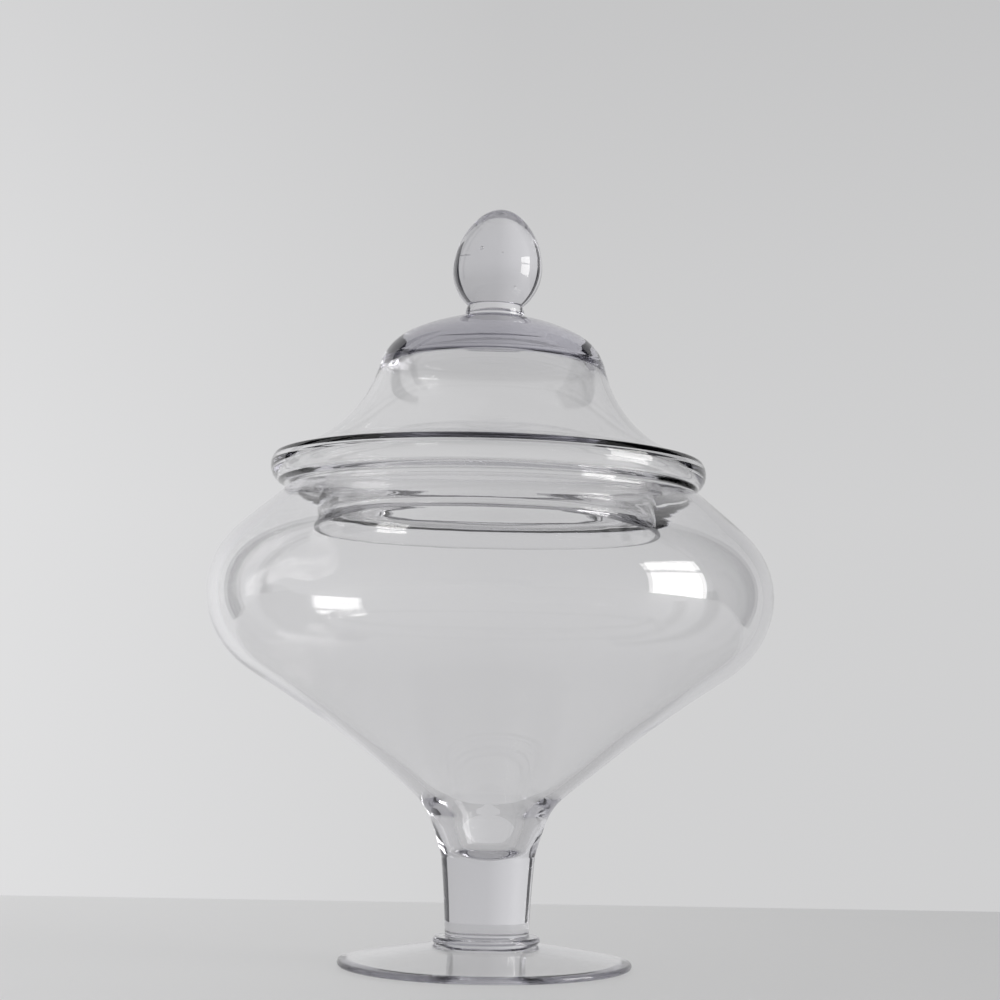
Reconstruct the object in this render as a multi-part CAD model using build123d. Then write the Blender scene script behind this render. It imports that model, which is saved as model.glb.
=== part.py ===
from build123d import *
import os
from math import acos, asin, cos, radians, sin, sqrt

# Footed glass apothecary jar with a lift-off lid.
# Millimetres, +Z up, origin on the table at the centre of the foot.
# Every piece is turned about the Z axis. An outline is drawn as (radius, height).

# ---- foot: a shallow conical shell that stands on a ring under its rim ----
foot_r = 65.0            # rim radius
foot_rim_t = 2.8         # thickness at the rim
foot_edge_r = 1.2        # fire-polished rounding of the rim
foot_h = 9.7             # height where the squeezed ring begins
rest_w = 4.0             # width of the flat ring that the jar stands on
foot_hollow = 7.6        # depth of the hollow under the centre
foot_dome_r = 20.0       # radius of the hollow's rounded middle
foot_dome_rise = 1.0     # height of that rounding

# ---- squeezed ring and solid stem ----
ring_spread = 5.2        # how far the ring stands out past the stem
ring_h = 3.3             # height of the ring
stem_base_r = 18.6       # stem radius on the ring
stem_waist_r = 19.3      # stem radius half way up
stem_top_r = 20.5        # stem radius under the bowl
stem_h = 31.0            # length of the stem

# ---- bowl ----
bowl_wall = 4.8          # wall thickness from lip to belly, measured square to the glass
tail_h = 4.5             # solid tail of the bowl, below the flare of its neck
tail_spread = 0.4        # how far the tail widens
neck_lean = 17.5         # degrees from vertical
neck_len = 17.5          # straight run of the neck
neck_fillet = 15.0       # outer radius that turns the neck into the flank
flank_r = 600.0          # slightly hollow flank
belly_lower_r = 41.3     # profile radius below the widest line
belly_upper_r = 37.2     # profile radius above it
belly_r = 126.9          # widest radius of the bowl
belly_h = 119.5          # height of the widest line above the stem
shoulder_angle = 40.6    # degrees, slope of the shoulder
lip_r = 92.5             # outer radius where the lip's rounding starts
floor_t = 2.8            # glass between the stem and the cavity
dish_h = 5.6             # depth of the dished floor of the cavity
dish_rim_r = 12.0        # radius of the dish's rim, where the throat begins
throat_r = 16.0          # radius at the top of the throat
throat_h = 19.0          # height of its top above the stem
throat_fillet = 24.0     # radius that turns the throat into the flank, inside

# ---- lid ----
seat_gap = 0.3           # clearance between the seated lid and the lip
seat_outset = 1.1        # the seat ends this far outside the crest of the lip
flange_bulge = 6.1       # how far the flange bulges out past the seat
flange_mid_h = 8.0       # height of its widest line above the seat
crease_setback = 1.8     # the crease on top lies this far inside the widest line
crease_h = 13.3          # height of the crease above the seat
flange_wall = 3.0        # wall thickness of the hollow flange
flange_floor_t = 2.8     # thickness of the flange's underside
flange_edge_r = 5.5      # inner rounding between that underside and the collar
hook_setback = 3.4       # the inside starts to hook out this far inside the crease

collar_clearance = 12.3  # gap between the mouth and the straight part of the collar
collar_wall = 2.4        # its wall thickness
collar_root_r = 3.0      # outer rounding between collar and seat
collar_straight = 5.6    # the flared end begins this far below the seat
collar_flare_r = 18.0    # profile radius of the flared end
collar_flare = 30.0      # degrees that the end turns outwards

bell_wall = 3.0          # wall thickness of the bell's side
crown_wall = 12.0        # thickness of its crown
ceiling_r = 106.0        # profile radius of the ceiling under the crown
bell_corner_r = 6.0      # inner rounding between crown and side
dome_h = 80.2            # crown of the dome above the seat
dome_r = 86.3            # profile radius of the crown
bell_shoulder_r = 21.4   # profile radius of the bell's shoulder
bell_shoulder_at = 30.4  # distance of that radius's centre from the axis
bell_flare_r = 58.0      # profile radius of the flare

# ---- knob ----
knob_foot_r = 12.9       # radius on the dome
knob_bead_r = 13.4       # widest radius of the short neck
knob_neck_r = 12.3       # radius under the knob
knob_neck_h = 5.6        # height of the neck
knob_r = 20.4            # widest radius of the knob
knob_lower_h = 16.6      # height of the widest line above the neck
knob_upper_h = 28.5      # height of the top above the widest line
knob_side_r = 33.0       # profile radius of the knob's upper side

# ---- places that follow from the sizes above ----
rest_outer_r = foot_r - foot_edge_r
rest_inner_r = rest_outer_r - rest_w
ring_r = stem_base_r + ring_spread
ring_flat_r = ring_r - ring_h / 2
neck_r = stem_top_r + tail_spread
ring_top_z = foot_h + ring_h
stem_top_z = ring_top_z + stem_h
belly_z = stem_top_z + belly_h


def toward(start, end, distance):
    """The point at a distance from start, on the way to end."""
    return start + (end - start).normalized() * distance


def meet(center_a, reach_a, center_b, reach_b):
    """The point, right of the way from a to b, at the given distances from both."""
    gap = (center_b - center_a).length
    along = (gap**2 + reach_a**2 - reach_b**2) / (2 * gap)
    aside = sqrt(reach_a**2 - along**2)
    way = (center_b - center_a).normalized()
    return center_a + way * along + Vector(way.Y, -way.X) * aside


def bend(center, start, end):
    """An arc about a center, by the short way round."""
    middle = toward(center, start + (end - start) / 2, (start - center).length)
    return ThreePointArc(start, middle, end)


def turn(edges):
    """Close the outline along straight lines, if need be, and turn it about Z."""
    return revolve(Plane.XZ * make_face(Wire(edges)), Axis.Z, 360)


def polyline(*points):
    """Straight edges through points, as a list."""
    return [Line(a, b) for a, b in zip(points, points[1:])]


# ---- bowl geometry ----
lean = radians(neck_lean)
neck_way = Vector(sin(lean), cos(lean))
neck_start = Vector(neck_r, stem_top_z + tail_h)
neck_top = neck_start + neck_way * neck_len
neck_center = neck_top + Vector(neck_way.Y, -neck_way.X) * neck_fillet

floor_z = stem_top_z + floor_t
dish_rim = Vector(dish_rim_r, floor_z + dish_h)
throat_top = Vector(throat_r, stem_top_z + throat_h)
throat_way = (throat_top - dish_rim).normalized()
throat_center = throat_top + Vector(throat_way.Y, -throat_way.X) * throat_fillet

lower_center = Vector(belly_r - belly_lower_r, belly_z)
upper_center = Vector(belly_r - belly_upper_r, belly_z)
slope = radians(shoulder_angle)
shoulder_out = Vector(sin(slope), cos(slope))
shoulder_foot = upper_center + shoulder_out * belly_upper_r
to_lip = Vector(-cos(slope), sin(slope)) * ((shoulder_foot.X - lip_r) / cos(slope))
outer_lip = shoulder_foot + to_lip
inner_lip = outer_lip - shoulder_out * bowl_wall


def bowl_face(inset, fillet_center, neck):
    """Edges from lip to neck of the face that lies a given depth inside the bowl's outer one."""
    lower_r = belly_lower_r - inset
    fillet_r = (neck - fillet_center).length
    flank_center = meet(fillet_center, flank_r - fillet_r, lower_center, flank_r + lower_r)
    shoulder = shoulder_foot - shoulder_out * inset
    belly = Vector(belly_r - inset, belly_z)
    flank = toward(lower_center, flank_center, lower_r)
    fillet = toward(flank_center, fillet_center, flank_r)
    return [
        Line(shoulder + to_lip, shoulder),
        bend(upper_center, shoulder, belly),
        bend(lower_center, belly, flank),
        bend(flank_center, flank, fillet),
        bend(fillet_center, fillet, neck),
    ]


# ---- places on the lid that follow from the lip ----
lip_center = (outer_lip + inner_lip) / 2
lip_top_z = lip_center.Y + bowl_wall / 2
mouth_r = lip_center.X - bowl_wall / 2
seat_z = lip_top_z + seat_gap
seat_outer_r = lip_center.X + seat_outset
flange_r = seat_outer_r + flange_bulge
crease_r = flange_r - crease_setback
collar_r = mouth_r - collar_clearance
collar_inner_r = collar_r - collar_wall
flange_floor_z = seat_z + flange_floor_t
edge_center = Vector(collar_inner_r + flange_edge_r, flange_floor_z - flange_edge_r)
edge_drop = seat_z - edge_center.Y
edge_at_seat = Vector(edge_center.X - sqrt(flange_edge_r**2 - edge_drop**2), seat_z)


def make_foot():
    """A cone with a rounded rim and a hollow underneath that follows its slope."""
    edge = foot_edge_r
    rim_low = Vector(rest_outer_r, 0)
    rim_high = Vector(rest_outer_r, foot_rim_t)
    rim_side = Vector(foot_r, foot_rim_t - edge)
    dome_foot = Vector(foot_dome_r, foot_hollow - foot_dome_rise)
    dome_half = (foot_dome_r / 2, foot_hollow - foot_dome_rise / 4)
    return turn([
        ThreePointArc((0, foot_hollow), dome_half, dome_foot),
        *polyline(dome_foot, (rest_inner_r, 0), rim_low),
        bend(Vector(rest_outer_r, edge), rim_low, Vector(foot_r, edge)),
        Line((foot_r, edge), rim_side),
        bend(Vector(rest_outer_r, foot_rim_t - edge), rim_side, rim_high),
        *polyline(rim_high, (ring_flat_r, foot_h), (0, foot_h), (0, foot_hollow)),
    ])


def make_stem_ring():
    """A disc of glass squeezed into a round-edged ring between foot and stem."""
    low = Vector(ring_flat_r, foot_h)
    high = Vector(ring_flat_r, ring_top_z)
    return turn([
        ThreePointArc(low, (ring_r, foot_h + ring_h / 2), high),
        *polyline(high, (0, ring_top_z), (0, foot_h), low),
    ])


def make_stem():
    """A solid stem that widens a little towards the bowl."""
    return turn([
        ThreePointArc((stem_base_r, ring_top_z), (stem_waist_r, ring_top_z + stem_h / 2),
                      (stem_top_r, stem_top_z)),
        *polyline((stem_top_r, stem_top_z), (0, stem_top_z), (0, ring_top_z),
                  (stem_base_r, ring_top_z)),
    ])


def make_bowl():
    """The hollow bowl: a rounded lip, a wall that thickens downwards and a solid tail."""
    dish_r = (dish_rim_r**2 + dish_h**2) / (2 * dish_h)
    lip_crest = lip_center + to_lip.normalized() * bowl_wall / 2
    return turn([
        *bowl_face(0, neck_center, neck_top),
        *polyline(neck_top, neck_start, Vector(stem_top_r, stem_top_z),
                  Vector(0, stem_top_z), Vector(0, floor_z)),
        bend(Vector(0, floor_z + dish_r), dish_rim, Vector(0, floor_z)),
        Line(dish_rim, throat_top),
        *bowl_face(bowl_wall, throat_center, throat_top),
        ThreePointArc(outer_lip, lip_crest, inner_lip),
    ])


# ---- lid geometry ----
crease = Vector(crease_r, seat_z + crease_h)
dome_center = Vector(0, seat_z + dome_h - dome_r)
dome_reach = dome_r - bell_shoulder_r
shoulder_center = Vector(bell_shoulder_at,
                         dome_center.Y + sqrt(dome_reach**2 - bell_shoulder_at**2))
flare_center = meet(crease, bell_flare_r, shoulder_center, bell_flare_r + bell_shoulder_r)
crown_z = dome_center.Y + sqrt(dome_r**2 - knob_foot_r**2)
flare_inner = bell_flare_r + bell_wall
ceiling_center = Vector(0, seat_z + dome_h - crown_wall - ceiling_r)
corner_center = meet(flare_center, flare_inner + bell_corner_r,
                     ceiling_center, ceiling_r - bell_corner_r)


def flare_at_height(z):
    """The point of the bell's inner flare at a height."""
    drop = asin((flare_center.Y - z) / flare_inner)
    return flare_center + Vector(-cos(drop), -sin(drop)) * flare_inner


def flare_at_radius(r):
    """The point of the bell's inner flare at a radius."""
    drop = acos((flare_center.X - r) / flare_inner)
    return flare_center + Vector(-cos(drop), -sin(drop)) * flare_inner


def make_lid_bell():
    """The bell of the lid, thicker at the crown, that flares out to the flange."""
    crown = Vector(knob_foot_r, crown_z)
    dome_end = toward(dome_center, shoulder_center, dome_r)
    waist = toward(shoulder_center, flare_center, bell_shoulder_r)
    ceiling = ceiling_center + Vector(0, ceiling_r)
    ceiling_end = toward(ceiling_center, corner_center, ceiling_r)
    inner_waist = toward(corner_center, flare_center, bell_corner_r)
    inner_end = flare_at_height(crease.Y)
    return turn([
        bend(dome_center, crown, dome_end),
        bend(shoulder_center, dome_end, waist),
        bend(flare_center, waist, crease),
        Line(crease, inner_end),
        bend(flare_center, inner_end, inner_waist),
        bend(corner_center, inner_waist, ceiling_end),
        bend(ceiling_center, ceiling_end, ceiling),
        *polyline(ceiling, Vector(0, crown_z), crown),
    ])


def make_lid_flange():
    """The hollow bulging flange, whose underside rests on the lip."""
    inner_start = flare_at_height(crease.Y)
    hook_r = crease_r - hook_setback
    hook_start = flare_at_radius(hook_r)
    hook_end = Vector(hook_r, flange_floor_z)
    hook_out = Vector(flange_r - flange_wall, (hook_start.Y + flange_floor_z) / 2)
    edge_top = Vector(edge_center.X, flange_floor_z)
    return turn([
        ThreePointArc(crease, Vector(flange_r, seat_z + flange_mid_h), (seat_outer_r, seat_z)),
        Line((seat_outer_r, seat_z), edge_at_seat),
        bend(edge_center, edge_at_seat, edge_top),
        Line(edge_top, hook_end),
        ThreePointArc(hook_end, hook_out, hook_start),
        bend(flare_center, hook_start, inner_start),
        Line(inner_start, crease),
    ])


def make_lid_collar():
    """The collar that hangs inside the mouth and keeps the lid central."""
    start_z = seat_z - collar_straight
    flare = radians(collar_flare)
    center = Vector(collar_r + collar_flare_r, start_z)
    away = Vector(-cos(flare), -sin(flare))
    root_center = Vector(collar_r + collar_root_r, seat_z - collar_root_r)
    root_top = Vector(root_center.X, seat_z)
    root_foot = Vector(collar_r, root_center.Y)
    outer_start = Vector(collar_r, start_z)
    inner_start = Vector(collar_inner_r, start_z)
    outer_end = center + away * collar_flare_r
    inner_end = center + away * (collar_flare_r + collar_wall)
    tip = (outer_end + inner_end) / 2 + Vector(sin(flare), -cos(flare)) * collar_wall / 2
    edge_foot = Vector(collar_inner_r, edge_center.Y)
    return turn([
        bend(root_center, root_top, root_foot),
        Line(root_foot, outer_start),
        bend(center, outer_start, outer_end),
        ThreePointArc(outer_end, tip, inner_end),
        bend(center, inner_end, inner_start),
        Line(inner_start, edge_foot),
        bend(edge_center, edge_foot, edge_at_seat),
        Line(edge_at_seat, root_top),
    ])


def make_knob_neck():
    """The short neck between the lid and its knob."""
    top_z = crown_z + knob_neck_h
    return turn([
        ThreePointArc((knob_foot_r, crown_z), (knob_bead_r, crown_z + knob_neck_h / 3),
                      (knob_neck_r, top_z)),
        *polyline((knob_neck_r, top_z), (0, top_z), (0, crown_z), (knob_foot_r, crown_z)),
    ])


def make_knob():
    """The solid egg-shaped knob."""
    base_z = crown_z + knob_neck_h
    widest = Vector(knob_r, base_z + knob_lower_h)
    side_center = widest - Vector(knob_side_r, 0)
    rise = knob_upper_h
    top_r = (rise**2 + side_center.X**2 - knob_side_r**2) / (2 * (rise - knob_side_r))
    top_center = Vector(0, widest.Y + rise - top_r)
    side_end = toward(side_center, top_center, knob_side_r)
    return turn([
        TangentArc(widest, (knob_neck_r, base_z), tangent=(0, -1)),
        *polyline((knob_neck_r, base_z), (0, base_z), (0, widest.Y + rise)),
        bend(top_center, Vector(0, widest.Y + rise), side_end),
        bend(side_center, side_end, widest),
    ])


nodes = {
    "foot": make_foot,
    "stem_ring": make_stem_ring,
    "stem": make_stem,
    "bowl": make_bowl,
    "lid_bell": make_lid_bell,
    "lid_flange": make_lid_flange,
    "lid_collar": make_lid_collar,
    "knob_neck": make_knob_neck,
    "knob": make_knob,
}
os.makedirs("parts", exist_ok=True)
for name, make in nodes.items():
    export_step(make(), f"parts/{name}.step")
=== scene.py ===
from math import acos, atan2, ceil, cos, exp, pi, radians, sin, sqrt, tan

import bmesh
import bpy
from mathutils import Matrix, Vector


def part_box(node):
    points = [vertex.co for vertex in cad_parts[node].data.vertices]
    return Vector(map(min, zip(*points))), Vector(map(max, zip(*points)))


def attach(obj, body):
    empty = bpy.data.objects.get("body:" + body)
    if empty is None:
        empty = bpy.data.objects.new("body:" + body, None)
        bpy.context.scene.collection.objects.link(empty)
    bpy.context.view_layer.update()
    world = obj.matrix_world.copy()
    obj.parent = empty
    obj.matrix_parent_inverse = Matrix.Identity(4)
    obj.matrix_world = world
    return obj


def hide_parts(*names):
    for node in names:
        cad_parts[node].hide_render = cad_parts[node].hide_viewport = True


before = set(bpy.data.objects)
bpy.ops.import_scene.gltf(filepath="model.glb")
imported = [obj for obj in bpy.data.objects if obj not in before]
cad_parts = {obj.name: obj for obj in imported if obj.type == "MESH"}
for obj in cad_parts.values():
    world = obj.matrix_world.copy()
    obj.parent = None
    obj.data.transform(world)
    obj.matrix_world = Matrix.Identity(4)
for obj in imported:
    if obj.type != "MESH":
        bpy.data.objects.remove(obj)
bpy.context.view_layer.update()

# The apothecary jar's looks. Two clear glass meshes, one for each body, take the place of the CAD
# nodes, because fused gathers of glass have no faces between them to refract at.
# Metres, +Z up. The camera looks along +Y, so +X is to its right.

MM = 0.001


def top(node):
    """Highest height of a CAD node."""
    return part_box(node)[1][2]


def low(node):
    """Lowest height of a CAD node."""
    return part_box(node)[0][2]


def radius(node):
    """Largest radius of a CAD node."""
    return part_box(node)[1][0]


# ---------------------------------------------------------------- outlines
# An outline is a list of (radius, height) points with a softness for each stretch:
# how far fire-polished glass rounds off a change of curvature there.

SAMPLE = 0.5 * MM        # spacing while an outline is softened
MAX_TURN = radians(2.2)  # the kept points turn by no more than this
MAX_STEP = 3.4 * MM      # and lie no further apart than this
SEGMENTS = 192           # round the axis
BROAD = 5.0 * MM         # softness of the big curves of the bowl
SOFT_RAMP = 0.35         # how fast the softness may grow along an outline


def toward(start, end, distance):
    """The point at a distance from start, on the way to end."""
    return start + (end - start).normalized() * distance


def meet(center_a, reach_a, center_b, reach_b):
    """The point, right of the way from a to b, at the given distances from both."""
    way = center_b - center_a
    gap = way.length
    along = (gap**2 + reach_a**2 - reach_b**2) / (2 * gap)
    aside = sqrt(reach_a**2 - along**2)
    way.normalize()
    return center_a + way * along + Vector((way.y, -way.x)) * aside


def point(r, z):
    """A place on an outline."""
    return Vector((r, z))


class Outline:
    """A chain of straight stretches and arcs, drawn one after another."""

    def __init__(self, start):
        self.points = [start]
        self.soft = [1.5 * MM]

    def line(self, end, soft):
        start = self.points[-1]
        steps = max(1, ceil((end - start).length / SAMPLE))
        for i in range(1, steps + 1):
            self.points.append(start.lerp(end, i / steps))
            self.soft.append(soft)
        return self

    def arc(self, center, end, soft):
        """An arc about a center, by the short way round, to the direction of end."""
        start = self.points[-1] - center
        reach = start.length
        first = atan2(start.y, start.x)
        turn = atan2(end.y - center.y, end.x - center.x) - first
        turn = (turn + pi) % (2 * pi) - pi
        steps = max(2, ceil(reach * abs(turn) / SAMPLE))
        for i in range(1, steps + 1):
            angle = first + turn * i / steps
            self.points.append(center + reach * Vector((cos(angle), sin(angle))))
            self.soft.append(soft)
        return self

    def through(self, middle, end, soft):
        """An arc through a middle point to the end."""
        start = self.points[-1]
        a, b = middle - start, end - start
        cross = 2 * (a.x * b.y - a.y * b.x)
        aa, bb = a.length_squared, b.length_squared
        center = start + Vector((b.y * aa - a.y * bb, a.x * bb - b.x * aa)) / cross
        return self.arc(center, middle, soft).arc(center, end, soft)

    def finished(self):
        """The softened outline, with points only where it turns or runs on."""
        points, soft = self.points, self.soft
        last = len(points) - 1
        for order in (range(1, last + 1), range(last - 1, -1, -1)):
            for i in order:
                beside = soft[i - 1] if order.step > 0 else soft[i + 1]
                soft[i] = min(soft[i], beside + SOFT_RAMP * SAMPLE)
        softened = []
        for i, here in enumerate(points):
            reach = int(3 * soft[i] / SAMPLE)
            reach = min(reach, i, last - i)
            if reach == 0:
                softened.append(here.copy())
                continue
            total, weight = Vector((0, 0)), 0.0
            for j in range(-reach, reach + 1):
                share = exp(-0.5 * (j * SAMPLE / soft[i])**2)
                total += points[i + j] * share
                weight += share
            softened.append(total / weight)
        kept = [softened[0]]
        turned, run = 0.0, 0.0
        for before, here, after in zip(softened, softened[1:], softened[2:]):
            step_in, step_out = here - before, after - here
            run += step_in.length
            if step_in.length > 1e-9 and step_out.length > 1e-9:
                turned += abs(step_in.angle(step_out))
            if turned > MAX_TURN or run > MAX_STEP:
                kept.append(here)
                turned, run = 0.0, 0.0
        kept.append(softened[-1])
        return kept


# ---------------------------------------------------------------- the jar's outline
FOOT_R, FOOT_H = radius("foot"), top("foot")
RIM_T = 2.8 * MM         # foot thickness at its rim
RIM_EDGE = 1.2 * MM      # rounding of the rim
REST_W = 4.0 * MM        # width of the flat ring that the jar stands on
HOLLOW = 7.6 * MM        # depth of the hollow under the foot, with a rounded middle
HOLLOW_DOME_R = 20.0 * MM
HOLLOW_DOME_RISE = 1.0 * MM
RING_R, RING_TOP = radius("stem_ring"), top("stem_ring")
STEM_BASE_R = 18.6 * MM
STEM_WAIST_R = 19.3 * MM
STEM_TOP_R, STEM_TOP = radius("stem"), top("stem")
TAIL_SPREAD = 0.4 * MM   # the bowl's solid tail widens by this
TAIL_H = 4.5 * MM
NECK_START = Vector((STEM_TOP_R + TAIL_SPREAD, STEM_TOP + TAIL_H))
NECK_LEAN = radians(17.5)
NECK_LEN = 17.5 * MM
NECK_FILLET = 15.0 * MM
FLANK_R = 600.0 * MM
BELLY_LOWER_R = 41.3 * MM
BELLY_UPPER_R = 37.2 * MM
BELLY_H = 119.5 * MM     # height of the widest line above the stem
BELLY_R, BELLY_Z = radius("bowl"), STEM_TOP + BELLY_H
SHOULDER_SLOPE = radians(40.6)
BOWL_WALL = 4.8 * MM
LIP_TOP = top("bowl")
FLOOR_T = 2.8 * MM       # glass between the stem and the cavity
FLOOR_Z = STEM_TOP + FLOOR_T
DISH_H = 5.6 * MM        # depth of the dished floor of the cavity
DISH_RIM_R = 12.0 * MM
DISH_RIM = Vector((DISH_RIM_R, FLOOR_Z + DISH_H))
THROAT_R = 16.0 * MM
THROAT_H = 19.0 * MM
THROAT_TOP = Vector((THROAT_R, STEM_TOP + THROAT_H))
THROAT_FILLET = 24.0 * MM

neck_way = point(sin(NECK_LEAN), cos(NECK_LEAN))
neck_top = NECK_START + neck_way * NECK_LEN
neck_center = neck_top + point(neck_way.y, -neck_way.x) * NECK_FILLET
throat_way = (THROAT_TOP - DISH_RIM).normalized()
throat_center = THROAT_TOP + point(throat_way.y, -throat_way.x) * THROAT_FILLET
lower_center = point(BELLY_R - BELLY_LOWER_R, BELLY_Z)
upper_center = point(BELLY_R - BELLY_UPPER_R, BELLY_Z)
shoulder_out = point(sin(SHOULDER_SLOPE), cos(SHOULDER_SLOPE))
shoulder_way = point(-cos(SHOULDER_SLOPE), sin(SHOULDER_SLOPE))
shoulder_foot = upper_center + shoulder_out * BELLY_UPPER_R
wall_middle = shoulder_foot - shoulder_out * BOWL_WALL / 2
lip_run = (LIP_TOP - BOWL_WALL / 2 - wall_middle.y) / shoulder_way.y
lip_center = wall_middle + shoulder_way * lip_run


def bowl_face(inset, fillet_center, fillet_r):
    """Points from lip to fillet of the face that lies a given depth inside the outer one."""
    lower_r = BELLY_LOWER_R - inset
    flank_center = meet(fillet_center, FLANK_R - fillet_r, lower_center, FLANK_R + lower_r)
    shoulder = shoulder_foot - shoulder_out * inset
    return {
        "lip": shoulder + shoulder_way * lip_run,
        "shoulder": shoulder,
        "belly": point(BELLY_R - inset, BELLY_Z),
        "flank": toward(lower_center, flank_center, lower_r),
        "flank_center": flank_center,
        "fillet": toward(flank_center, fillet_center, FLANK_R),
    }


def jar_outline():
    """From the hollow under the foot, up the outside, over the lip and down to the cavity's floor."""
    ring_h = RING_TOP - FOOT_H
    ring_flat = RING_R - ring_h / 2
    rest_out = FOOT_R - RIM_EDGE
    outer = bowl_face(0, neck_center, NECK_FILLET)
    inner = bowl_face(BOWL_WALL, throat_center, THROAT_FILLET)
    line = Outline(point(0, HOLLOW))
    line.through(point(HOLLOW_DOME_R / 2, HOLLOW - HOLLOW_DOME_RISE / 4),
                 point(HOLLOW_DOME_R, HOLLOW - HOLLOW_DOME_RISE), soft=1.0 * MM)
    line.line(point(rest_out - REST_W, 0), soft=0.8 * MM)
    line.line(point(rest_out, 0), soft=0.3 * MM)
    line.arc(point(rest_out, RIM_EDGE), point(FOOT_R, RIM_EDGE), soft=0.15 * MM)
    line.line(point(FOOT_R, RIM_T - RIM_EDGE), soft=0.15 * MM)
    line.arc(point(rest_out, RIM_T - RIM_EDGE), point(rest_out, RIM_T), soft=0.3 * MM)
    line.line(point(ring_flat, FOOT_H), soft=0.6 * MM)
    line.through(point(RING_R, FOOT_H + ring_h / 2), point(ring_flat, RING_TOP), soft=0.35 * MM)
    line.line(point(STEM_BASE_R, RING_TOP), soft=0.4 * MM)
    line.through(point(STEM_WAIST_R, (RING_TOP + STEM_TOP) / 2),
                 point(STEM_TOP_R, STEM_TOP), soft=0.8 * MM)
    line.line(NECK_START, soft=0.8 * MM)
    line.line(neck_top, soft=BROAD)
    line.arc(neck_center, outer["fillet"], soft=BROAD)
    line.arc(outer["flank_center"], outer["flank"], soft=BROAD)
    line.arc(lower_center, outer["belly"], soft=BROAD)
    line.arc(upper_center, outer["shoulder"], soft=BROAD)
    line.line(outer["lip"], soft=BROAD)
    line.through(lip_center + shoulder_way * BOWL_WALL / 2, inner["lip"], soft=0.3 * MM)
    line.line(inner["shoulder"], soft=BROAD)
    line.arc(upper_center, inner["belly"], soft=BROAD)
    line.arc(lower_center, inner["flank"], soft=BROAD)
    line.arc(inner["flank_center"], inner["fillet"], soft=BROAD)
    line.arc(throat_center, THROAT_TOP, soft=BROAD)
    line.line(DISH_RIM, soft=2.0 * MM)
    dish_r = (DISH_RIM.x**2 + DISH_H**2) / (2 * DISH_H)
    line.arc(point(0, FLOOR_Z + dish_r), point(0, FLOOR_Z), soft=0.8 * MM)
    return line.finished()


# ---------------------------------------------------------------- the lid's outline
SEAT_Z = low("lid_flange")
CREASE = Vector((radius("lid_bell"), top("lid_flange")))
CROWN_Z = top("lid_bell")
FLANGE_R = radius("lid_flange")
FLANGE_BULGE = 6.1 * MM  # how far the flange bulges out past the seat
FLANGE_MID_H = 8.0 * MM  # height of its widest line above the seat
FLANGE_WALL = 3.0 * MM
FLANGE_FLOOR_T = 2.8 * MM
FLANGE_EDGE = 5.5 * MM   # inner rounding between its floor and the collar
HOOK_SETBACK = 3.4 * MM  # the inside starts to hook out this far inside the crease
COLLAR_CLEARANCE = 12.3 * MM
COLLAR_R = lip_center.x - BOWL_WALL / 2 - COLLAR_CLEARANCE
COLLAR_WALL = 2.4 * MM
COLLAR_ROOT = 3.0 * MM
COLLAR_STRAIGHT = 5.6 * MM
COLLAR_FLARE_R = 18.0 * MM
COLLAR_FLARE = radians(30.0)
BELL_WALL = 3.0 * MM
CROWN_WALL = 12.0 * MM
CEILING_R = 106.0 * MM
BELL_CORNER_R = 6.0 * MM
DOME_R = 86.3 * MM
DOME_H = 80.2 * MM       # crown of the dome above the seat
BELL_SHOULDER_R = 21.4 * MM
BELL_SHOULDER_AT = 30.4 * MM
BELL_FLARE_R = 58.0 * MM
KNOB_FOOT_R = 12.9 * MM
KNOB_BEAD_R = 13.4 * MM
KNOB_NECK_R = 12.3 * MM
KNOB_BASE, KNOB_TOP = low("knob"), top("knob")
KNOB_R = radius("knob")
KNOB_LOWER_H = 16.6 * MM
KNOB_WIDEST = KNOB_BASE + KNOB_LOWER_H
KNOB_SIDE_R = 33.0 * MM


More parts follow.
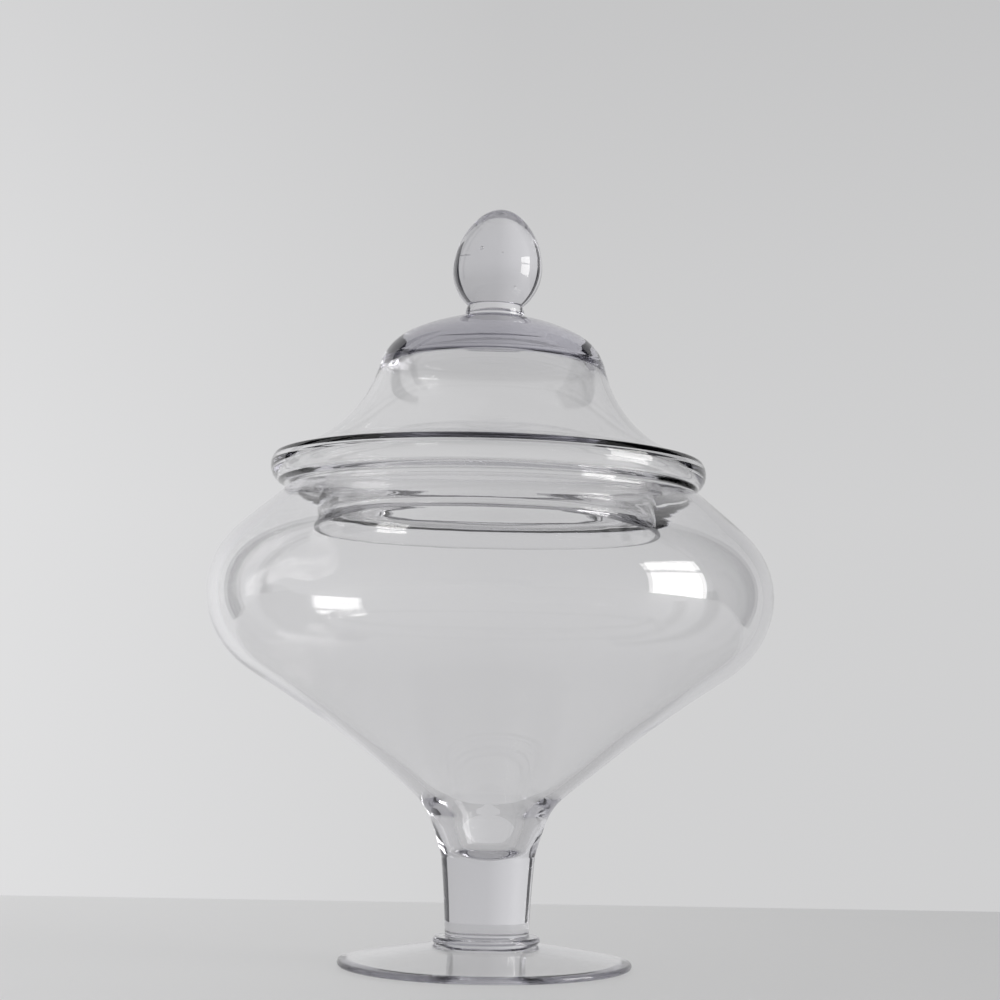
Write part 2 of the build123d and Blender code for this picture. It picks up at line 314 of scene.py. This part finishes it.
def lid_outline():
    """From the ceiling inside, down round the collar, up the outside and over the knob."""
    seat_r = FLANGE_R - FLANGE_BULGE
    floor_z = SEAT_Z + FLANGE_FLOOR_T
    hook_r = CREASE.x - HOOK_SETBACK
    dome_z = SEAT_Z + DOME_H
    dome_center = point(0, dome_z - DOME_R)
    reach = DOME_R - BELL_SHOULDER_R
    shoulder = point(BELL_SHOULDER_AT, dome_center.y + sqrt(reach**2 - BELL_SHOULDER_AT**2))
    flare = meet(CREASE, BELL_FLARE_R, shoulder, BELL_FLARE_R + BELL_SHOULDER_R)
    ceiling = point(0, dome_z - CROWN_WALL - CEILING_R)
    flare_inner = BELL_FLARE_R + BELL_WALL
    corner = meet(flare, flare_inner + BELL_CORNER_R, ceiling, CEILING_R - BELL_CORNER_R)
    inner_r = COLLAR_R - COLLAR_WALL
    edge = point(inner_r + FLANGE_EDGE, floor_z - FLANGE_EDGE)
    drop = acos((flare.x - hook_r) / flare_inner)
    hook = flare + point(-cos(drop), -sin(drop)) * flare_inner

    line = Outline(point(0, ceiling.y + CEILING_R))
    line.arc(ceiling, toward(ceiling, corner, CEILING_R), soft=1.5 * MM)
    line.arc(corner, toward(corner, flare, BELL_CORNER_R), soft=1.5 * MM)
    line.arc(flare, hook, soft=1.5 * MM)
    line.through(point(FLANGE_R - FLANGE_WALL, (hook.y + floor_z) / 2),
                 point(hook_r, floor_z), soft=1.0 * MM)
    line.line(point(edge.x, floor_z), soft=1.5 * MM)
    line.arc(edge, point(inner_r, edge.y), soft=1.5 * MM)

    turn_z = SEAT_Z - COLLAR_STRAIGHT
    turn_center = point(COLLAR_R + COLLAR_FLARE_R, turn_z)
    away = point(-cos(COLLAR_FLARE), -sin(COLLAR_FLARE))
    outer_end = turn_center + away * COLLAR_FLARE_R
    inner_end = turn_center + away * (COLLAR_FLARE_R + COLLAR_WALL)
    tip = (outer_end + inner_end) / 2
    tip += point(sin(COLLAR_FLARE), -cos(COLLAR_FLARE)) * COLLAR_WALL / 2
    root = point(COLLAR_R + COLLAR_ROOT, SEAT_Z - COLLAR_ROOT)
    line.line(point(inner_r, turn_z), soft=1.5 * MM)
    line.arc(turn_center, inner_end, soft=1.5 * MM)
    line.through(tip, outer_end, soft=0.4 * MM)
    line.arc(turn_center, point(COLLAR_R, turn_z), soft=1.5 * MM)
    line.line(point(COLLAR_R, root.y), soft=1.5 * MM)
    line.arc(root, point(root.x, SEAT_Z), soft=1.5 * MM)
    line.line(point(seat_r, SEAT_Z), soft=0.8 * MM)
    line.through(point(FLANGE_R, SEAT_Z + FLANGE_MID_H), CREASE, soft=0.4 * MM)
    line.arc(flare, toward(flare, shoulder, 1), soft=0.4 * MM)
    line.arc(shoulder, toward(dome_center, shoulder, DOME_R), soft=2.0 * MM)
    line.arc(dome_center, point(KNOB_FOOT_R, CROWN_Z), soft=0.8 * MM)

    neck_h = KNOB_BASE - CROWN_Z
    line.through(point(KNOB_BEAD_R, CROWN_Z + neck_h / 3), point(KNOB_NECK_R, KNOB_BASE), soft=0.5 * MM)
    rise, spread = KNOB_WIDEST - KNOB_BASE, KNOB_R - KNOB_NECK_R
    lower_r = (rise**2 + spread**2) / (2 * spread)
    line.arc(point(KNOB_R - lower_r, KNOB_WIDEST), point(KNOB_R, KNOB_WIDEST), soft=0.6 * MM)
    upper_h = KNOB_TOP - KNOB_WIDEST
    side = point(KNOB_R - KNOB_SIDE_R, KNOB_WIDEST)
    cap_r = (upper_h**2 + side.x**2 - KNOB_SIDE_R**2) / (2 * (upper_h - KNOB_SIDE_R))
    cap = point(0, KNOB_TOP - cap_r)
    line.arc(side, toward(side, cap, KNOB_SIDE_R), soft=2.0 * MM)
    line.arc(cap, point(0, KNOB_TOP), soft=2.0 * MM)
    return line.finished()


# ---------------------------------------------------------------- meshes
def blend_in(value, start, end):
    """0 before start, 1 after end, smooth between."""
    share = min(1.0, max(0.0, (value - start) / (end - start)))
    return share * share * (3 - 2 * share)


# Hand-made irregularity. All drifts are to the right.
BOWL_DRIFT = 0.9 * MM             # the lower bowl stands off its foot's axis
DRIFT_BEGINS = (4 * MM, 14 * MM)  # from above the rim of the foot
DRIFT_ENDS = (110 * MM, 140 * MM)
NECK_DRIFT = 0.8 * MM             # the neck bends out a little more
NECK_DRIFT_Z = 88 * MM
NECK_DRIFT_REACH = 14 * MM
MOUTH_DRIFT = 1.0 * MM
MOUTH_BLEND = 10 * MM             # how far from the widest line the mouth's own errors begin
MOUTH_TILT = radians(0.5)         # the mouth and the lid on it dip to the right
LID_SHIFT = -1.9 * MM             # the lid sits a little to the left
BELL_LEAN = radians(0.9)          # the bell leans right of the lid's own axis
KNOB_LEAN = radians(2.2)          # and the knob more


def settle_jar(place):
    """The jar as it was blown: a bowl a little off its foot's axis, with a dipping mouth."""
    x, y, z = place
    drift = BOWL_DRIFT * (blend_in(z, *DRIFT_BEGINS) - blend_in(z, *DRIFT_ENDS))
    drift += NECK_DRIFT * exp(-((z - NECK_DRIFT_Z) / NECK_DRIFT_REACH)**2)
    drift += MOUTH_DRIFT * blend_in(z, BELLY_Z + MOUTH_BLEND, LIP_TOP)
    dip = tan(MOUTH_TILT) * x * blend_in(z, BELLY_Z - MOUTH_BLEND, LIP_TOP)
    return Vector((x + drift, y, z - dip))


def settle_lid(place):
    """The lid as it lies on that mouth, with its leaning bell and knob."""
    aside = tan(BELL_LEAN) * max(0, min(place.z, KNOB_BASE) - CREASE.y)
    aside += tan(KNOB_LEAN) * max(0, place.z - KNOB_BASE)
    place = Vector((place.x + aside, place.y, place.z))
    seat = Vector((0, 0, SEAT_Z))
    place = Matrix.Rotation(MOUTH_TILT, 3, "Y") @ (place - seat) + seat
    return place + Vector((LID_SHIFT, 0, 0))


def turned(outline, settle):
    """A closed glass mesh turned from an outline that starts and ends on the axis."""
    mesh = bmesh.new()
    first = mesh.verts.new(settle(Vector((0, 0, outline[0].y))))
    last = mesh.verts.new(settle(Vector((0, 0, outline[-1].y))))
    rings = []
    for r, z in outline[1:-1]:
        ring = []
        for i in range(SEGMENTS):
            angle = 2 * pi * i / SEGMENTS
            ring.append(mesh.verts.new(settle(Vector((r * cos(angle), r * sin(angle), z)))))
        rings.append(ring)
    for i in range(SEGMENTS):
        j = (i + 1) % SEGMENTS
        mesh.faces.new((first, rings[0][j], rings[0][i]))
        for lower, upper in zip(rings, rings[1:]):
            mesh.faces.new((lower[i], lower[j], upper[j], upper[i]))
        mesh.faces.new((last, rings[-1][i], rings[-1][j]))
    return mesh


def as_object(name, mesh, body, replaced):
    """The finished piece, riding on its body in place of CAD nodes."""
    data = bpy.data.meshes.new(name)
    mesh.to_mesh(data)
    mesh.free()
    data.shade_smooth()
    piece = bpy.data.objects.new(name, data)
    bpy.context.scene.collection.objects.link(piece)
    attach(piece, body)
    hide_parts(*replaced)
    return piece


# Seeds: air bubbles in the knob, as (x, y, z) from the middle of its widest line, then half the
# length and half the width, in millimetres
SEEDS = [
    ((-5.6, -3.0, 7.5), (0.75, 0.70)),
    ((-11.5, -2.0, 4.8), (2.6, 0.28)),
    ((1.4, -6.0, 5.6), (0.35, 0.30)),
    ((5.0, 4.0, -3.5), (0.30, 0.26)),
]


def add_seed(mesh, center, size):
    """A small bubble: a closed surface whose faces look into the air it holds."""
    length, width = size
    spot = Vector((0, 0, KNOB_WIDEST)) + Vector(center) * MM
    shape = Matrix.Translation(settle_lid(spot)) @ Matrix.Diagonal(
        (length * MM, width * MM, width * MM, 1))
    made = bmesh.ops.create_icosphere(mesh, subdivisions=3, radius=1, matrix=shape)
    faces = {face for vert in made["verts"] for face in vert.link_faces}
    bmesh.ops.reverse_faces(mesh, faces=list(faces))


# ---------------------------------------------------------------- glass
def node(tree, kind, **inputs):
    """A shader node with its input values set."""
    made = tree.nodes.new(kind)
    for name, value in inputs.items():
        made.inputs[name.replace("_", " ")].default_value = value
    return made


GLASS_TINT = (0.9895, 0.989, 0.9895, 1)
GLASS_IOR = 1.5
DEPTH_TINT = (0.71, 0.705, 0.745, 1)   # the faint colour that thick glass takes on
DEPTH_DENSITY = 20.0
WAVE_HEIGHT = 0.12 * MM
CORD_HEIGHT = 0.008 * MM
SMEAR_FROM, SMEAR_TO = 0.5, 0.8        # noise values between which a smear builds up
SMEAR_ROUGHNESS = 0.03


def glass(name, seed):
    """Clear blown glass: gentle waves and fine cords in its surface, faint smears of wear."""
    material = bpy.data.materials.new(name)
    material.use_nodes = True
    tree = material.node_tree
    tree.nodes.clear()
    link = tree.links.new
    shader = node(tree, "ShaderNodeBsdfPrincipled", Base_Color=GLASS_TINT, IOR=GLASS_IOR,
                  Transmission_Weight=1.0)
    output = tree.nodes.new("ShaderNodeOutputMaterial")
    link(shader.outputs[0], output.inputs["Surface"])
    depth = node(tree, "ShaderNodeVolumeAbsorption", Color=DEPTH_TINT, Density=DEPTH_DENSITY)
    link(depth.outputs[0], output.inputs["Volume"])

    place = tree.nodes.new("ShaderNodeTexCoord")
    moved = tree.nodes.new("ShaderNodeMapping")
    moved.inputs["Location"].default_value = (seed, seed * 0.37, 0)
    link(place.outputs["Object"], moved.inputs["Vector"])

    waves = node(tree, "ShaderNodeTexNoise", Scale=22.0, Detail=1.0, Roughness=0.4)
    cords = node(tree, "ShaderNodeTexNoise", Scale=95.0, Detail=2.0, Roughness=0.5)
    smear = node(tree, "ShaderNodeTexNoise", Scale=38.0, Detail=5.0, Roughness=0.6)
    for noise in (waves, cords, smear):
        link(moved.outputs[0], noise.inputs["Vector"])

    broad = node(tree, "ShaderNodeBump", Strength=1.0, Distance=WAVE_HEIGHT)
    fine = node(tree, "ShaderNodeBump", Strength=1.0, Distance=CORD_HEIGHT)
    link(waves.outputs["Fac"], broad.inputs["Height"])
    link(cords.outputs["Fac"], fine.inputs["Height"])
    link(broad.outputs[0], fine.inputs["Normal"])
    link(fine.outputs[0], shader.inputs["Normal"])

    worn = tree.nodes.new("ShaderNodeMapRange")
    for socket, value in (("From Min", SMEAR_FROM), ("From Max", SMEAR_TO),
                          ("To Min", 0.0), ("To Max", SMEAR_ROUGHNESS)):
        worn.inputs[socket].default_value = value
    link(smear.outputs["Fac"], worn.inputs["Value"])
    link(worn.outputs[0], shader.inputs["Roughness"])
    return material


jar = as_object("jar_glass_body", turned(jar_outline(), settle_jar), "jar",
                ("foot", "stem_ring", "stem", "bowl"))
jar.data.materials.append(glass("jar_glass", 0.0))

lid_mesh = turned(lid_outline(), settle_lid)
for center, size in SEEDS:
    add_seed(lid_mesh, center, size)
lid = as_object("lid_glass_body", lid_mesh, "lid",
                ("lid_bell", "lid_flange", "lid_collar", "knob_neck", "knob"))
lid.data.materials.append(glass("lid_glass", 3.1))


# ---------------------------------------------------------------- table, light and room
EYE = Vector((3.6 * MM, -900 * MM, 110.6 * MM))
PITCH = radians(6.107)   # the camera looks slightly up
ROLL = radians(0.95)
LENS = 72.0              # for a sensor 36 mm wide
TABLE_BACK = 0.295       # the table's back edge, behind the jar's axis
TABLE_HALF = 1.6
TABLE_Z = -0.25 * MM     # a hair below the foot, so that their faces do not coincide
TABLE_COLOUR = (0.20, 0.20, 0.205, 1)
TABLE_GLOW_LEFT = 0.485  # the glow of its surface, left of the jar
TABLE_GLOW_RIGHT = 0.318
TABLE_GLOW_REACH = 0.35  # how far left and right of the jar it has these values
CARD_DISTANCE = 1.6
WINDOW_LIGHT = 7.0


def table_top():
    """A matt white board. Its own glow, brighter towards the left, stands in for daylight on it."""
    material = bpy.data.materials.new("table_white")
    material.use_nodes = True
    tree = material.node_tree
    link = tree.links.new
    shader = tree.nodes["Principled BSDF"]
    shader.inputs["Base Color"].default_value = TABLE_COLOUR
    shader.inputs["Roughness"].default_value = 0.55
    shader.inputs["Emission Strength"].default_value = 1.0
    place = tree.nodes.new("ShaderNodeTexCoord")
    split = tree.nodes.new("ShaderNodeSeparateXYZ")
    link(place.outputs["Object"], split.inputs[0])
    across = tree.nodes.new("ShaderNodeMapRange")
    for socket, value in (("From Min", -TABLE_GLOW_REACH), ("From Max", TABLE_GLOW_REACH),
                          ("To Min", TABLE_GLOW_LEFT), ("To Max", TABLE_GLOW_RIGHT)):
        across.inputs[socket].default_value = value
    link(split.outputs["X"], across.inputs["Value"])
    glow = tree.nodes.new("ShaderNodeCombineColor")
    for channel in ("Red", "Green", "Blue"):
        link(across.outputs[0], glow.inputs[channel])
    link(glow.outputs[0], shader.inputs["Emission Color"])
    return material


def glowing(name, colour, strength):
    """A material that only gives off light."""
    material = bpy.data.materials.new(name)
    material.use_nodes = True
    tree = material.node_tree
    tree.nodes.clear()
    glow = node(tree, "ShaderNodeEmission", Color=(*colour, 1), Strength=strength)
    output = tree.nodes.new("ShaderNodeOutputMaterial")
    tree.links.new(glow.outputs[0], output.inputs["Surface"])
    return material


def sheet(name, corners, material):
    """A quadrilateral with one material, linked to the scene."""
    data = bpy.data.meshes.new(name)
    data.from_pydata(corners, [], [(0, 1, 2, 3)])
    data.materials.append(material)
    piece = bpy.data.objects.new(name, data)
    bpy.context.scene.collection.objects.link(piece)
    return piece


def card(name, bearing, width, low_angle, high_angle, material):
    """An upright card facing the jar, unseen by the camera. Bearing is in degrees from the
    camera's side of the jar towards +X, width in degrees as seen from the jar, and the two
    angles of its edges in degrees above the belly's height."""
    half = CARD_DISTANCE * tan(radians(width / 2))
    turn = radians(bearing)
    middle = Vector((sin(turn), -cos(turn), 0)) * CARD_DISTANCE
    aside = Vector((cos(turn), sin(turn), 0)) * half
    lower, upper = (Vector((0, 0, BELLY_Z + CARD_DISTANCE * tan(radians(angle))))
                    for angle in (low_angle, high_angle))
    corners = [middle - aside + lower, middle + aside + lower,
               middle + aside + upper, middle - aside + upper]
    piece = sheet(name, corners, material)
    piece.visible_camera = False
    piece.visible_shadow = False
    return piece


sheet("table", [(-TABLE_HALF, -TABLE_HALF, TABLE_Z), (TABLE_HALF, -TABLE_HALF, TABLE_Z),
                (TABLE_HALF, TABLE_BACK, TABLE_Z), (-TABLE_HALF, TABLE_BACK, TABLE_Z)], table_top())

# A window in two rows of panes, for its reflections, and dark cards that stand in for darker parts of
# the room, for the thin dark lines along the edges of solid glass
pane = glowing("window_pane", (1.0, 0.99, 0.97), WINDOW_LIGHT)
card("window_lower", 77, 27, -8, 15, pane)
card("window_upper", 77, 27, 17, 25, pane)
# near-black sheets, unseen by the camera, standing in for darker parts of the room seen in the glass's
# reflections and refractions
dark_sheet = glowing("dark_card", (0.02, 0.02, 0.025), 1.0)
card("dark_right", 112, 36, -14, 60, dark_sheet)
card("dark_left", -122, 12, -14, 60, dark_sheet)
card("dark_far_left", -98, 8, -14, 60, dark_sheet)


# Brightness of the room: by bearing (degrees from the camera's side towards +X, the picture's
# wall is at 180) and a factor by elevation (sine of the angle)
BY_BEARING = [(-180, 0.645), (-166, 0.740), (-150, 0.80), (-95, 0.80), (-60, 0.60), (0, 0.52),
              (60, 0.52), (95, 0.55), (130, 0.58), (166, 0.630), (180, 0.645)]
BY_RISE = [(-1.0, 0.95), (-0.1, 1.0), (0.10, 1.0), (0.22, 0.95), (0.34, 0.88), (0.62, 0.84),
           (0.84, 0.78), (0.95, 0.66), (1.0, 0.60)]
ROOM_TINT = (1.0, 1.0, 1.008)


def ramp_of(tree, stops):
    """A colour ramp through grey values, over the range from the first stop to the last."""
    low, high = stops[0][0], stops[-1][0]
    ramp = tree.nodes.new("ShaderNodeValToRGB")
    elements = ramp.color_ramp.elements
    while len(elements) < len(stops):
        elements.new(0.5)
    for element, (at, value) in zip(elements, stops):
        element.position = (at - low) / (high - low)
        element.color = (value, value, value, 1)
    return ramp


def room():
    """The room as a World: a pale wall low down, brightest on the left, darker overhead."""
    world = bpy.data.worlds.new("room")
    bpy.context.scene.world = world
    world.use_nodes = True
    tree = world.node_tree
    tree.nodes.clear()
    link = tree.links.new
    place = tree.nodes.new("ShaderNodeTexCoord")
    split = tree.nodes.new("ShaderNodeSeparateXYZ")
    link(place.outputs["Generated"], split.inputs[0])
    back = tree.nodes.new("ShaderNodeMath")
    back.operation = "MULTIPLY"
    back.inputs[1].default_value = -1.0
    link(split.outputs["Y"], back.inputs[0])
    bearing = tree.nodes.new("ShaderNodeMath")
    bearing.operation = "ARCTAN2"
    link(split.outputs["X"], bearing.inputs[0])
    link(back.outputs[0], bearing.inputs[1])

    values = []
    for source, stops, low, high in ((bearing.outputs[0], BY_BEARING, -pi, pi),
                                     (split.outputs["Z"], BY_RISE, -1.0, 1.0)):
        share = tree.nodes.new("ShaderNodeMapRange")
        share.inputs["From Min"].default_value = low
        share.inputs["From Max"].default_value = high
        link(source, share.inputs["Value"])
        ramp = ramp_of(tree, stops)
        link(share.outputs[0], ramp.inputs["Fac"])
        values.append(ramp.outputs["Color"])
    mix = tree.nodes.new("ShaderNodeMix")
    mix.data_type = "RGBA"
    mix.blend_type = "MULTIPLY"
    mix.inputs["Factor"].default_value = 1.0
    link(values[0], mix.inputs[6])
    link(values[1], mix.inputs[7])
    tint = tree.nodes.new("ShaderNodeMix")
    tint.data_type = "RGBA"
    tint.blend_type = "MULTIPLY"
    tint.inputs["Factor"].default_value = 1.0
    link(mix.outputs[2], tint.inputs[6])
    tint.inputs[7].default_value = (*ROOM_TINT, 1)
    shade = tree.nodes.new("ShaderNodeBackground")
    link(tint.outputs[2], shade.inputs["Color"])
    output = tree.nodes.new("ShaderNodeOutputWorld")
    link(shade.outputs[0], output.inputs["Surface"])


room()
scene = bpy.context.scene
scene.view_settings.view_transform = "Standard"
# Light that is piped along inside the thick glass reflects many times before it leaves
scene.cycles.max_bounces = 32
scene.cycles.glossy_bounces = 24
scene.cycles.transmission_bounces = 24

camera_data = bpy.data.cameras.new("camera")
camera_data.lens = LENS
camera_data.sensor_width = 36.0
camera = bpy.data.objects.new("camera", camera_data)
bpy.context.scene.collection.objects.link(camera)
camera.matrix_world = (Matrix.Translation(EYE) @ Matrix.Rotation(pi / 2 + PITCH, 4, "X")
                       @ Matrix.Rotation(ROLL, 4, "Z"))
bpy.context.scene.camera = camera
